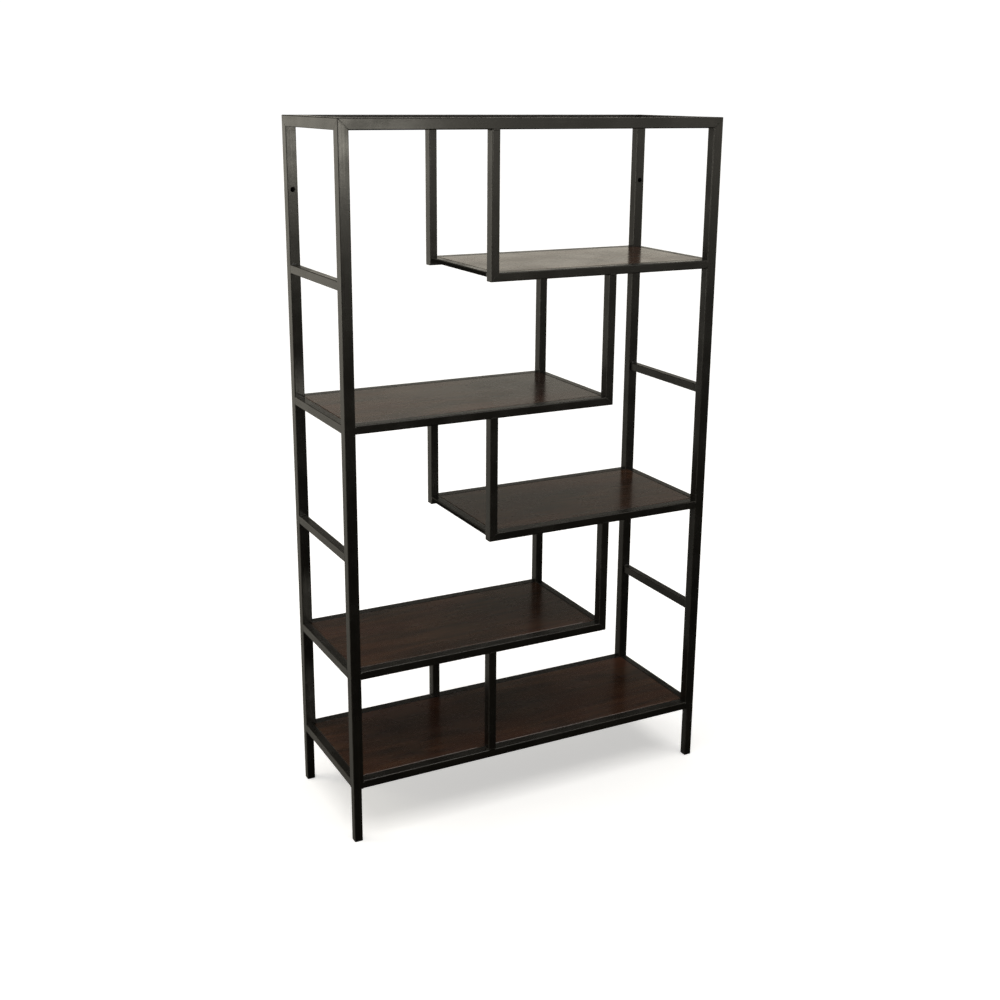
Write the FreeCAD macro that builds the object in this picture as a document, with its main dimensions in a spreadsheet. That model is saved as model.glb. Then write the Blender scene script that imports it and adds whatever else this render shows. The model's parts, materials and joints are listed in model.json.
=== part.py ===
import FreeCAD, Part
import math
import os
import re

import Sketcher

# Open bookcase: a welded frame of steel tube that carries five staggered timber shelves.
# Sizes are millimetres. +X runs to the right, +Y to the back and +Z up.
# The origin is on the floor, at the middle of the footprint.

driving_sizes = (
    ("width", 960),  # over the outer faces of the posts
    ("depth", 350),
    ("height", 1650),
    ("post_size", 25),  # square tube of the posts and the top frame, and the depth of every front member
    ("bar_width", 20),  # width of the drop bars and height of the shelf rails
    ("free_end_height", 11),  # height of the flatter rail across a shelf's free end
    ("leg_size", 20),
    ("wall", 1.5),
    ("corner_radius", 2.2),
    ("cut_margin", 1),  # how far a cutting wedge stands past the tube that it cuts
    ("shelf_1_top", 1318),
    ("shelf_2_top", 1008),
    ("shelf_3_top", 713),
    ("shelf_4_top", 431),
    ("shelf_5_top", 156),
    ("left_bay", 352),  # left side of the frame to the outer face of the left-hand drop bars
    ("right_bay", 281),  # right side of the frame to the outer face of the right-hand drop bars
    ("panel_thickness", 15),
    ("panel_gap", 1),
    ("panel_corner", 1.5),
    ("panel_edge", 0.8),
    ("tab_length", 32),
    ("tab_reach", 20),
    ("tab_thickness", 2.5),
    ("tab_inset", 90),  # end rail to the middle of the nearest tab
    ("tab_hole", 5),
    ("screw_shank", 4),
    ("screw_length", 12.5),
    ("screw_head", 8),
    ("screw_head_height", 2.2),
    ("screw_clearance", 0.05),
    ("screw_tip_gap", 1),
    ("plate_thickness", 3),
    ("plate_clearance", 0.2),
    ("foot_flange", 3),
    ("foot_edge", 0.8),
    ("foot_stem", 18),
    ("foot_clearance", 0.2),
    ("fixing_drop", 163),  # top of the frame down to the wall fixings
    ("fixing_hole", 5.5),
    ("access_hole", 12),
)

right = FreeCAD.Vector(1, 0, 0)
back = FreeCAD.Vector(0, 1, 0)
up = FreeCAD.Vector(0, 0, 1)
upright = FreeCAD.Rotation()

doc = FreeCAD.newDocument("bookcase")
sheet = doc.addObject("Spreadsheet::Sheet", "Sizes")
for row, (alias, size) in enumerate(driving_sizes, start=1):
    sheet.set(f"A{row}", str(size))
    sheet.setAlias(f"A{row}", alias)
doc.recompute()

sub_parts = []
cuts = []
almost = 0.98  # the share of a cut's expected volume that it has to take away


def sized(text):
    """The expression that reads each named size in the text from the sheet. A word before ( is a function."""
    return re.sub(r"\b[a-z]\w*\b(?!\()", lambda word: "Sizes." + word.group(0), text)


def number(text):
    """What the text comes to with the sizes as they are now."""
    return float(sheet.evalExpression(sized(text)))


def circle_area(diameter):
    return math.pi * number(diameter) ** 2 / 4


def bind(item, name, text):
    item.setExpression(name, sized(text))


def place(item, x, y, z, rotation=upright):
    """Turns an item, and ties the place of its own origin to the sheet."""
    item.Placement = FreeCAD.Placement(FreeCAD.Vector(), rotation)
    bind(item, "Placement.Base.x", x)
    bind(item, "Placement.Base.y", y)
    bind(item, "Placement.Base.z", z)


def turned(own_x, own_y):
    """The rotation that lays a piece's own X and Y along two directions."""
    return FreeCAD.Rotation(own_x, own_y, own_x.cross(own_y), "XYZ")


def keep(item, label):
    """Names a finished piece, which becomes one node."""
    item.Label = label
    sub_parts.append(item)
    return item


def add_sketch(body, plane, name, offset=None):
    """A sketch on one of the body's own origin planes, moved along its normal if an offset is given."""
    sketch = body.newObject("Sketcher::SketchObject", name)
    support = next(item for item in body.Origin.OriginFeatures if item.Role == plane)
    sketch.AttachmentSupport = [(support, "")]
    sketch.MapMode = "FlatFace"
    if offset:
        bind(sketch, "AttachmentOffset.Base.z", offset)
    return sketch


def fix_point(sketch, geometry, point, x, y):
    """Holds a point of the sketch at x, y from the sketch's origin. An empty x means on the Y axis."""
    for kind, text in (("DistanceX", x), ("DistanceY", y)):
        if not text:
            sketch.addConstraint(Sketcher.Constraint("PointOnObject", geometry, point, -2))
            continue
        size = number(text)
        if size < 0:
            text = f"-({text})"
            constraint = Sketcher.Constraint(kind, geometry, point, -1, 1, -size)
        else:
            constraint = Sketcher.Constraint(kind, -1, 1, geometry, point, size)
        name = f"{kind}_{geometry}"
        sketch.renameConstraint(sketch.addConstraint(constraint), name)
        bind(sketch, f"Constraints.{name}", text)


def add_rounded_rectangle(sketch, size_x, size_y, radius):
    """A rectangle centred on the sketch's origin with its four corners rounded."""
    half_x = number(size_x) / 2
    half_y = number(size_y) / 2
    round_off = number(radius)
    in_x = half_x - round_off
    in_y = half_y - round_off
    first = sketch.GeometryCount
    sides = (
        ((-in_x, -half_y), (in_x, -half_y)),
        ((half_x, -in_y), (half_x, in_y)),
        ((in_x, half_y), (-in_x, half_y)),
        ((-half_x, in_y), (-half_x, -in_y)),
    )
    for start, end in sides:
        sketch.addGeometry(Part.LineSegment(FreeCAD.Vector(*start, 0), FreeCAD.Vector(*end, 0)))
    centres = ((in_x, -in_y), (in_x, in_y), (-in_x, in_y), (-in_x, -in_y))
    for turn, centre in enumerate(centres, start=-1):
        circle = Part.Circle(FreeCAD.Vector(*centre, 0), up, round_off)
        sketch.addGeometry(Part.ArcOfCircle(circle, turn * math.pi / 2, (turn + 1) * math.pi / 2))
    for side in range(4):
        line = first + side
        arc = first + 4 + side
        following = first + (side + 1) % 4
        sketch.addConstraint(Sketcher.Constraint("Tangent", line, 2, arc, 1))
        sketch.addConstraint(Sketcher.Constraint("Tangent", arc, 2, following, 1))
        sketch.addConstraint(Sketcher.Constraint(("Horizontal", "Vertical")[side % 2], line))
        if side:
            sketch.addConstraint(Sketcher.Constraint("Equal", first + 4, arc))
    reaches = (
        ("bottom", "DistanceY", (first, 1, -1, 1), half_y, size_y),
        ("right", "DistanceX", (-1, 1, first + 1, 1), half_x, size_x),
        ("top", "DistanceY", (-1, 1, first + 2, 1), half_y, size_y),
        ("left", "DistanceX", (first + 3, 1, -1, 1), half_x, size_x),
    )
    for side, kind, points, half, text in reaches:
        index = sketch.addConstraint(Sketcher.Constraint(kind, *points, half))
        sketch.renameConstraint(index, f"{side}_{first}")
        bind(sketch, f"Constraints.{side}_{first}", f"({text}) / 2")
    index = sketch.addConstraint(Sketcher.Constraint("Radius", first + 4, round_off))
    sketch.renameConstraint(index, f"radius_{first}")
    bind(sketch, f"Constraints.radius_{first}", radius)


def add_triangle(sketch, corners):
    """Three lines between three points, each held by its distances from the sketch's origin."""
    first = sketch.GeometryCount
    points = [FreeCAD.Vector(number(x), number(y), 0) for x, y in corners]
    for corner in range(3):
        sketch.addGeometry(Part.LineSegment(points[corner], points[(corner + 1) % 3]))
    for corner, (x, y) in enumerate(corners):
        line = first + corner
        following = first + (corner + 1) % 3
        sketch.addConstraint(Sketcher.Constraint("Coincident", line, 2, following, 1))
        fix_point(sketch, line, 1, x, y)


def add_circle(sketch, x, y, diameter):
    """A circle of a named diameter. An empty x puts its centre on the Y axis."""
    centre = FreeCAD.Vector(number(x) if x else 0, number(y), 0)
    circle = sketch.addGeometry(Part.Circle(centre, up, number(diameter) / 2))
    fix_point(sketch, circle, 3, x, y)
    index = sketch.addConstraint(Sketcher.Constraint("Diameter", circle, number(diameter)))
    sketch.renameConstraint(index, f"diameter_{circle}")
    bind(sketch, f"Constraints.diameter_{circle}", diameter)


def add_pocket(body, sketch, name, least):
    """A cut through everything, both ways. It has to take away at least the least volume."""
    pocket = body.newObject("PartDesign::Pocket", name)
    pocket.Profile = sketch
    pocket.Type = "ThroughAll"
    pocket.SideType = "Symmetric"
    cuts.append((pocket, least))
    return pocket


def mitre(body, name, plane, across, length, ends, least):
    """Cuts tube ends at 45 degrees. Each end is (which end, side where the tube stays long)."""
    sketch = add_sketch(body, plane, f"{name}_wedges")
    for end, side in ends:
        near = f"{side} * ({across} / 2 + cut_margin)"
        far = f"{-side} * ({across} / 2 + cut_margin)"
        if end == "low":
            outer = "-cut_margin"
            inner = f"{across} + cut_margin"
        else:
            outer = f"{length} + cut_margin"
            inner = f"{length} - {across} - cut_margin"
        add_triangle(sketch, ((near, outer), (far, outer), (far, inner)))
    add_pocket(body, sketch, f"{name}_mitre", least * len(ends))


def make_tube(label, size_x, size_y, length, mitres_x=(), mitres_y=()):
    """A length of rectangular tube along its own Z, with its section centred on its own origin."""
    body = keep(doc.addObject("PartDesign::Body", label), label)
    section = add_sketch(body, "XY_Plane", f"{label}_section")
    add_rounded_rectangle(section, size_x, size_y, "corner_radius")
    add_rounded_rectangle(section, f"{size_x} - 2 * wall", f"{size_y} - 2 * wall", "corner_radius - wall")
    pad = body.newObject("PartDesign::Pad", f"{label}_length")
    pad.Profile = section
    bind(pad, "Length", length)
    steel = 2 * number("wall") * (number(size_x) + number(size_y) - 2 * number("wall"))
    for name, plane, across, ends in (
        ("x", "XZ_Plane", size_x, mitres_x),
        ("y", "YZ_Plane", size_y, mitres_y),
    ):
        if ends:
            # Of two mitres on one end, the second takes about a quarter of the steel in a cube of tube.
            mitre(body, f"{label}_{name}", plane, across, length, ends, steel * number(across) / 5)
    return body


corners = {
    "front_left": (-1, -1),
    "front_right": (1, -1),
    "back_left": (-1, 1),
    "back_right": (1, 1),
}
sides = {"front": -1, "back": 1}
frame_underside = "(shelf_5_top - bar_width)"
left_bar_x = "(-width / 2 + left_bay + bar_width / 2)"
right_bar_x = "(width / 2 - right_bay - bar_width / 2)"
side_x = {-1: "(-width / 2 + bar_width / 2)", 1: "(width / 2 - bar_width / 2)"}  # cross rails at the posts
clear_depth = "(depth - 2 * post_size)"

# Where each shelf runs: from the left posts, from the right posts, or between both.
shelves = (
    (1, "right"),
    (2, "left"),
    (3, "right"),
    (4, "left"),
    (5, "full"),
)
rail_length = {
    "right": "width - left_bay - post_size",
    "left": "width - right_bay - post_size",
    "full": "width - 2 * post_size",
}
rail_start = {
    "right": "-width / 2 + left_bay",
    "left": "-width / 2 + post_size",
    "full": "-width / 2 + post_size",
}
panel_space = {
    "right": "(width - left_bay - 2 * bar_width)",
    "left": "(width - right_bay - 2 * bar_width)",
    "full": "(width - 2 * bar_width)",
}
panel_middle = {
    "right": "left_bay / 2",
    "left": "-right_bay / 2",
    "full": "0",
}
# Tabs along one rail, as shares of the way from the middle of the shelf to the outermost tab.
tab_places = {
    "right": (-1, 1),
    "left": (-1, 1),
    "full": (-1, 0, 1),
}


def make_posts():
    """Four full-height posts. Their tops are mitred both ways into the top frame."""
    posts = {}
    for corner, (to_x, to_y) in corners.items():
        posts[corner] = make_tube(
            f"post_{corner}",
            "post_size",
            "post_size",
            f"(height - {frame_underside})",
            mitres_x=(("high", to_x),),
            mitres_y=(("high", to_y),),
        )
        x = f"{to_x} * (width / 2 - post_size / 2)"
        y = f"{to_y} * (depth / 2 - post_size / 2)"
        place(posts[corner], x, y, frame_underside)
    return posts


def drill_wall_fixings(posts):
    """A screw hole through each back post, and a wider hole in its front wall for the driver."""
    drop = f"(height - fixing_drop - {frame_underside})"
    hole_area = circle_area("fixing_hole")
    ring_area = circle_area("access_hole") - hole_area
    for corner in ("back_left", "back_right"):
        body = posts[corner]
        hole_sketch = add_sketch(body, "XZ_Plane", f"{corner}_fixing")
        add_circle(hole_sketch, "", drop, "fixing_hole")
        add_pocket(body, hole_sketch, f"{corner}_fixing_hole", almost * hole_area * 2 * number("wall"))
        # The sketch stands in the middle of the tube, and the cut goes from there to the front.
        access_sketch = add_sketch(body, "XZ_Plane", f"{corner}_access")
        add_circle(access_sketch, "", drop, "access_hole")
        access = add_pocket(body, access_sketch, f"{corner}_access_hole", almost * ring_area * number("wall"))
        access.SideType = "One side"
        access.Reversed = True


def make_top_frame():
    """Four rails round the open top, mitred to each other and to the posts."""
    length_ends = {-1: (("low", -1), ("high", -1)), 1: (("low", 1), ("high", 1))}
    height = "height - post_size / 2"
    for side, to_y in sides.items():
        rail = make_tube(
            f"top_rail_{side}",
            "post_size",
            "post_size",
            "width",
            mitres_x=length_ends[to_y],
            mitres_y=length_ends[1],
        )
        place(rail, "-width / 2", f"{to_y} * (depth / 2 - post_size / 2)", height, turned(back, up))
    for side, to_x in (("left", -1), ("right", 1)):
        rail = make_tube(
            f"top_rail_{side}",
            "post_size",
            "post_size",
            "depth",
            mitres_x=length_ends[1],
            mitres_y=length_ends[to_x],
        )
        place(rail, f"{to_x} * (width / 2 - post_size / 2)", "-depth / 2", height, turned(up, right))


def make_shelf_rails():
    """Front, back and end rails of the five shelf frames."""
    for shelf, reach in shelves:
        top = f"shelf_{shelf}_top"
        middle = f"{top} - bar_width / 2"
        corner_end = {"right": (("low", -1),), "left": (("high", -1),), "full": ()}[reach]
        for side, to_y in sides.items():
            rail = make_tube(
                f"shelf_{shelf}_rail_{side}",
                "post_size",
                "bar_width",
                f"({rail_length[reach]})",
                mitres_y=corner_end,
            )
            y = f"{to_y} * (depth / 2 - post_size / 2)"
            place(rail, rail_start[reach], y, middle, turned(back, up))
        ends = {"left": (side_x[-1], "bar_width"), "right": (side_x[1], "bar_width")}
        if reach == "right":
            ends["left"] = (left_bar_x, "free_end_height")
        elif reach == "left":
            ends["right"] = (right_bar_x, "free_end_height")
        for side, (x, thickness) in ends.items():
            make_cross_rail(f"shelf_{shelf}_rail_{side}", x, top, thickness)


def make_cross_rail(label, x, top, thickness):
    """A short tube from the front members to the back ones, hung down from its top."""
    rail = make_tube(label, thickness, "bar_width", clear_depth)
    place(rail, x, "-depth / 2 + post_size", f"{top} - {thickness} / 2", turned(up, right))


def make_rungs():
    """Cross rails between the posts, at the shelves that stop short of that side."""
    for shelf, reach in shelves:
        if reach == "full":
            continue
        side, to_x = ("left", -1) if reach == "right" else ("right", 1)
        make_cross_rail(f"rung_{shelf}_{side}", side_x[to_x], f"shelf_{shelf}_top", "bar_width")


def make_drop_bars():
    """Front and back bars that hang each shelf's free end from the frame above it."""
    spans = (
        (1, "left", "shelf_1_top - bar_width", "height - post_size"),
        (2, "right", "shelf_2_top - bar_width", "shelf_1_top - bar_width"),
        (3, "left", "shelf_3_top - bar_width", "shelf_2_top - bar_width"),
        (4, "right", "shelf_4_top - bar_width", "shelf_3_top - bar_width"),
        (5, "left", "shelf_5_top", "shelf_4_top - bar_width"),
    )
    for bar, column, bottom, top in spans:
        x, long_side = (left_bar_x, -1) if column == "left" else (right_bar_x, 1)
        ends = (("low", long_side),) if bar < 5 else ()
        for side, to_y in sides.items():
            tube = make_tube(
                f"drop_bar_{bar}_{side}",
                "bar_width",
                "post_size",
                f"({top} - ({bottom}))",
                mitres_x=ends,
            )
            place(tube, x, f"{to_y} * (depth / 2 - post_size / 2)", bottom)


def make_legs():
    """Slimmer tubes under the posts, flush with the posts' outer faces, on plastic feet."""
    for corner, (to_x, to_y) in corners.items():
        x = f"{to_x} * (width / 2 - leg_size / 2)"
        y = f"{to_y} * (depth / 2 - leg_size / 2)"
        leg = make_tube(f"leg_{corner}", "leg_size", "leg_size", f"({frame_underside} - foot_flange)")
        place(leg, x, y, "foot_flange")
        place(make_foot(f"foot_{corner}"), x, y, "0")


def make_foot(label):
    """A moulded plug: a flange the size of the leg, and a stem that goes up inside it."""
    body = keep(doc.addObject("PartDesign::Body", label), label)
    outline = add_sketch(body, "XY_Plane", f"{label}_outline")
    add_rounded_rectangle(outline, "leg_size", "leg_size", "corner_radius")
    flange = body.newObject("PartDesign::Pad", f"{label}_flange")
    flange.Profile = outline
    bind(flange, "Length", "foot_flange")
    core = add_sketch(body, "XY_Plane", f"{label}_core")
    inside = "leg_size - 2 * wall - 2 * foot_clearance"
    add_rounded_rectangle(core, inside, inside, "corner_radius - wall")
    stem = body.newObject("PartDesign::Pad", f"{label}_stem")
    stem.Profile = core
    bind(stem, "Length", "foot_flange + foot_stem")
    doc.recompute()
    chamfer = body.newObject("PartDesign::Chamfer", f"{label}_edge")
    chamfer.Base = (stem, edges_at(stem.Shape, 0))
    bind(chamfer, "Size", "foot_edge")
    return body


def edges_at(shape, height):
    """Names of the edges that lie wholly at one height."""
    names = []
    for index, edge in enumerate(shape.Edges, start=1):
        if all(abs(vertex.Z - height) < 1e-6 for vertex in edge.Vertexes):
            names.append(f"Edge{index}")
    return names


def make_post_plates():
    """Square plates that close the posts' lower ends, where the legs are welded on."""
    plates = []
    side = "(post_size - 2 * wall - 2 * plate_clearance)"
    for corner, (to_x, to_y) in corners.items():
        plate = doc.addObject("Part::Box", f"plate_{corner}")
        bind(plate, "Length", side)
        bind(plate, "Width", side)
        bind(plate, "Height", "plate_thickness")
        x = f"{to_x} * (width / 2 - post_size / 2) - {side} / 2"
        y = f"{to_y} * (depth / 2 - post_size / 2) - {side} / 2"
        place(plate, x, y, frame_underside)
        plates.append(plate)
    gather("post_plates", plates)


def gather(label, items):
    """One node that holds several separate solids."""
    group = doc.addObject("Part::Compound", label)
    group.Links = items
    keep(group, label)


def fixing_points(reach):
    """Where the screws of one shelf stand, from the middle of its panel, and on which side."""
    x = f"({panel_space[reach]} / 2 - tab_inset)"
    y = "(depth / 2 - post_size - tab_reach / 2)"
    for share in tab_places[reach]:
        for to_y in sides.values():
            yield (f"{share} * {x}" if share else "", f"{to_y} * {y}", to_y)


def make_panels():
    """Timber panels that lie inside the shelf frames, with their tops flush with the rails."""
    for shelf, reach in shelves:
        label = f"shelf_{shelf}_panel"
        body = keep(doc.addObject("PartDesign::Body", label), label)
        outline = add_sketch(body, "XY_Plane", f"{label}_outline")
        length = f"{panel_space[reach]} - 2 * panel_gap"
        add_rounded_rectangle(outline, length, f"{clear_depth} - 2 * panel_gap", "panel_corner")
        board = body.newObject("PartDesign::Pad", f"{label}_board")
        board.Profile = outline
        bind(board, "Length", "panel_thickness")
        pilots = add_sketch(body, "XY_Plane", f"{label}_pilots")
        count = 0
        for x, y, _ in fixing_points(reach):
            add_circle(pilots, x, y, "screw_shank + 2 * screw_clearance")
            count += 1
        pilot_depth = "screw_length - tab_thickness + screw_tip_gap"
        least = almost * count * circle_area("screw_shank") * number(pilot_depth)
        holes = add_pocket(body, pilots, f"{label}_pilot_holes", least)
        holes.Type = "Length"
        holes.SideType = "One side"
        holes.Reversed = True
        bind(holes, "Length", pilot_depth)
        doc.recompute()
        edge = body.newObject("PartDesign::Chamfer", f"{label}_edge")
        edge.Base = (holes, edges_at(holes.Shape, number("panel_thickness")))
        bind(edge, "Size", "panel_edge")
        place(body, panel_middle[reach], "0", f"shelf_{shelf}_top - panel_thickness")


def make_tabs_and_screws():
    """Steel tabs welded inside the rails, and the screws that hold the panels down on them."""
    tabs = []
    screws = []
    for shelf, reach in shelves:
        tab_top = f"(shelf_{shelf}_top - panel_thickness)"
        for x, y, to_y in fixing_points(reach):
            centre_x = f"({panel_middle[reach]})" + (f" + {x}" if x else "")
            tabs.append(make_tab(f"{shelf}_{len(tabs)}", centre_x, y, to_y, tab_top))
            screws.append(make_screw(f"{shelf}_{len(screws)}", centre_x, y, tab_top))
    gather("shelf_tabs", tabs)
    gather("shelf_screws", screws)


def make_tab(name, x, y, to_y, top):
    """A plate with a hole. If its top is below the flat of the rail, it goes on to the rounded corner."""
    below_flat = "max(0; panel_thickness + corner_radius - bar_width)"
    round_gap = f"(corner_radius - sqrt(corner_radius ^ 2 - {below_flat} ^ 2))"
    plate = doc.addObject("Part::Box", f"tab_plate_{name}")
    bind(plate, "Length", "tab_length")
    bind(plate, "Width", f"tab_reach + {round_gap}")
    bind(plate, "Height", "tab_thickness")
    plate_y = f"{y} - tab_reach / 2 - {(1 - to_y) // 2} * {round_gap}"
    place(plate, f"{x} - tab_length / 2", plate_y, f"{top} - tab_thickness")
    hole = doc.addObject("Part::Cylinder", f"tab_hole_{name}")
    bind(hole, "Radius", "tab_hole / 2")
    bind(hole, "Height", "tab_thickness + 2 * cut_margin")
    place(hole, x, y, f"{top} - tab_thickness - cut_margin")
    tab = doc.addObject("Part::Cut", f"tab_{name}")
    tab.Base = plate
    tab.Tool = hole
    return tab


def make_screw(name, x, y, top):
    shank = doc.addObject("Part::Cylinder", f"screw_shank_{name}")
    bind(shank, "Radius", "screw_shank / 2")
    bind(shank, "Height", "screw_length")
    place(shank, x, y, f"{top} - tab_thickness")
    head = doc.addObject("Part::Cone", f"screw_head_{name}")
    bind(head, "Radius1", "screw_head / 2 - screw_head_height / 2")
    bind(head, "Radius2", "screw_head / 2")
    bind(head, "Height", "screw_head_height")
    place(head, x, y, f"{top} - tab_thickness - screw_head_height")
    screw = doc.addObject("Part::Fuse", f"screw_{name}")
    screw.Base = head
    screw.Tool = shank
    return screw


def check_model():
    """Stops if a feature failed, a cut took away too little, or a piece isn't a sound shape."""
    for item in doc.Objects:
        if "Invalid" in item.State or "Error" in item.State:
            raise RuntimeError(f"{item.Name} failed: {item.State}")
    for pocket, least in cuts:
        taken = pocket.BaseFeature.Shape.Volume - pocket.Shape.Volume
        if taken < least:
            raise RuntimeError(f"{pocket.Name} took away {taken:.1f} mm3, under {least:.1f}")
    for item in sub_parts:
        if item.Shape.isNull() or not item.Shape.isValid():
            raise RuntimeError(f"{item.Label} has no sound shape")


def write_parts():
    os.makedirs("parts", exist_ok=True)
    for item in sub_parts:
        item.Shape.exportStep(f"parts/{item.Label}.step")


drill_wall_fixings(make_posts())
make_top_frame()
make_shelf_rails()
make_rungs()
make_drop_bars()
make_legs()
make_post_plates()
make_panels()
make_tabs_and_screws()
doc.recompute()
check_model()
write_parts()
print(f"{len(sub_parts)} nodes, {sum(len(item.Shape.Solids) for item in sub_parts)} solids")
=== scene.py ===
import json
import math

import bpy
import numpy as np
from mathutils import Matrix, Vector


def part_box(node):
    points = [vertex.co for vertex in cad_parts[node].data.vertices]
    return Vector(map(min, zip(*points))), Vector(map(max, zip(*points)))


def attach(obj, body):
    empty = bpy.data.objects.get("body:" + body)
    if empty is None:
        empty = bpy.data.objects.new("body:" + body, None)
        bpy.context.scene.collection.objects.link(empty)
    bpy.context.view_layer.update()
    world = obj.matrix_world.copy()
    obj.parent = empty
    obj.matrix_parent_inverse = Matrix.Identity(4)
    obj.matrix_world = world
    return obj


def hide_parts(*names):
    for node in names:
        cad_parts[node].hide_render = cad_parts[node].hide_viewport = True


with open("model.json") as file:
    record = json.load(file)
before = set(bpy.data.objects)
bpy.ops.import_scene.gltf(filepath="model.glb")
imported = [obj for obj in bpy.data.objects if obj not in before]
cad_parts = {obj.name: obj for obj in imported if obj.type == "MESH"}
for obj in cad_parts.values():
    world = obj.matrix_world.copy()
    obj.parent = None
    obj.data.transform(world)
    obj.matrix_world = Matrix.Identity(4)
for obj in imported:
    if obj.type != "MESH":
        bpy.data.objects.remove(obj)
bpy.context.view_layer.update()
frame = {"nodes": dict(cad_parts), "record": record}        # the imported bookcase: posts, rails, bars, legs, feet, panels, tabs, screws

nodes = frame["nodes"]
slotOf = {entry["node"]: entry["material_slot"] for entry in frame["record"]["subparts"]}
print("frame loaded:", len(nodes), "nodes")


# places taken from the frame

sideSigns = {"front": -1.0, "back": 1.0, "left": -1.0, "right": 1.0}
opposite = {"left": "right", "right": "left"}
shelfReach = {1: "right", 2: "left", 3: "right", 4: "left", 5: "full"}   # the posts that hold it
rungs = [("rung_1_left", "left"), ("rung_2_right", "right"),
         ("rung_3_left", "left"), ("rung_4_right", "right")]
dropBars = range(1, 6)
footedBar = 5            # the one pair of drop bars that ends on a rail below it


# Lowest and highest value of a node along one axis, in metres.
def span(node, axis):
    low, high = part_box(node)
    return low[axis], high[axis]


# meshes

# A mesh object at the origin that rides on the bookcase. Faces are arrays of point numbers.
def addPiece(name, points, faces, material):
    mesh = bpy.data.meshes.new(name)
    rows = [row.tolist() for block in faces for row in block]
    mesh.from_pydata(points.reshape(-1, 3).tolist(), [], rows)
    mesh.materials.append(material)
    mesh.polygons.foreach_set("use_smooth", np.ones(len(mesh.polygons), bool))
    mesh.update()
    piece = bpy.data.objects.new(name, mesh)
    bpy.context.scene.collection.objects.link(piece)
    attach(piece, "root")
    print("piece", name, len(mesh.polygons), "faces")
    return piece


# Quads between the rings of several closed tubes, and one cap at each end of each tube.
def ringFaces(copies, rings, around):
    ring = np.arange(rings - 1)[:, None]
    step = np.arange(around)[None, :]
    after = (step + 1) % around
    quads = np.stack([ring * around + step, ring * around + after,
                      (ring + 1) * around + after, (ring + 1) * around + step], -1).reshape(-1, 4)
    firstCap = np.arange(around)[::-1][None, :]
    lastCap = (rings - 1) * around + np.arange(around)[None, :]
    start = (np.arange(copies) * rings * around)[:, None, None]
    return [(quads[None] + start).reshape(-1, 4), (firstCap[None] + start).reshape(-1, around),
            (lastCap[None] + start).reshape(-1, around)]


# shader tools

# An empty shader node group with named sockets, and its input and output nodes.
def newGroup(name, inputs, outputs):
    group = bpy.data.node_groups.new(name, "ShaderNodeTree")
    for label, kind, value in inputs:
        socket = group.interface.new_socket(name=label, in_out="INPUT", socket_type=kind)
        socket.default_value = value
    for label, kind in outputs:
        group.interface.new_socket(name=label, in_out="OUTPUT", socket_type=kind)
    return group, group.nodes.new("NodeGroupInput"), group.nodes.new("NodeGroupOutput")


# A node with its settings, and values or links for its inputs, each named by socket name or number.
def addNode(tree, kind, links=None, **settings):
    node = tree.nodes.new(kind)
    for key, value in settings.items():
        setattr(node, key, value)
    for key, value in (links or {}).items():
        if isinstance(value, bpy.types.NodeSocket):
            tree.links.new(value, node.inputs[key])
        else:
            node.inputs[key].default_value = value
    return node


# A Math node's result, from numbers or sockets.
def calc(tree, operation, *values):
    return addNode(tree, "ShaderNodeMath", dict(enumerate(values)), operation=operation).outputs[0]


# The value moved from one range to another, smoothly and with no overshoot.
def remap(tree, value, fromLow, fromHigh, toLow=0.0, toHigh=1.0):
    ranges = {0: value, 1: fromLow, 2: fromHigh, 3: toLow, 4: toHigh}
    return addNode(tree, "ShaderNodeMapRange", ranges, interpolation_type="SMOOTHSTEP").outputs[0]


# The first colour turned to the second by a share.
def blendColors(tree, share, first, second):
    node = addNode(tree, "ShaderNodeMix", data_type="RGBA")
    colorInputs = [s for s in node.inputs if s.type == "RGBA"]
    for socket, value in zip(colorInputs, (first, second)):
        if isinstance(value, bpy.types.NodeSocket):
            tree.links.new(value, socket)
        else:
            socket.default_value = (*value, 1.0)
    tree.links.new(share, node.inputs[0])
    return next(s for s in node.outputs if s.type == "RGBA")


# The colour turned to another one where the mask is, by no more than a share.
def addLayer(tree, color, mask, share, other):
    return blendColors(tree, calc(tree, "MULTIPLY", mask, share), color, other)


def noise(tree, vector, scale, detail=2.0, roughness=0.5, distortion=0.0):
    node = addNode(tree, "ShaderNodeTexNoise", {"Vector": vector, "Scale": scale, "Detail": detail,
                                                "Roughness": roughness, "Distortion": distortion})
    return node.outputs["Fac"]


# Noise on a vector that is moved, then scaled along each axis. The look is its detail, roughness
# and distortion.
def stretchedNoise(tree, vector, scale, look, place=(0.0, 0.0, 0.0)):
    moved = {"Vector": vector, "Location": place, "Scale": scale}
    return noise(tree, addNode(tree, "ShaderNodeMapping", moved).outputs[0], 1.0, *look)


def objectPlace(tree):
    return addNode(tree, "ShaderNodeTexCoord").outputs["Object"]


def faceNormal(tree):
    return addNode(tree, "ShaderNodeNewGeometry").outputs["Normal"]


def axisParts(tree, vector):
    return addNode(tree, "ShaderNodeSeparateXYZ", {0: vector}).outputs


# shared effects

# Lighter rounded edges: partly edge wear, partly a painted highlight.
edgeWearAndHighlight = {
    "corner": (0.015, 0.2),            # turn away from square where the lighter edge starts, and is full
    "patches": (42.0, 5.0, 0.62),      # scale, detail and roughness of the noise
    "patchRange": (0.36, 0.66),
}


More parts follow.
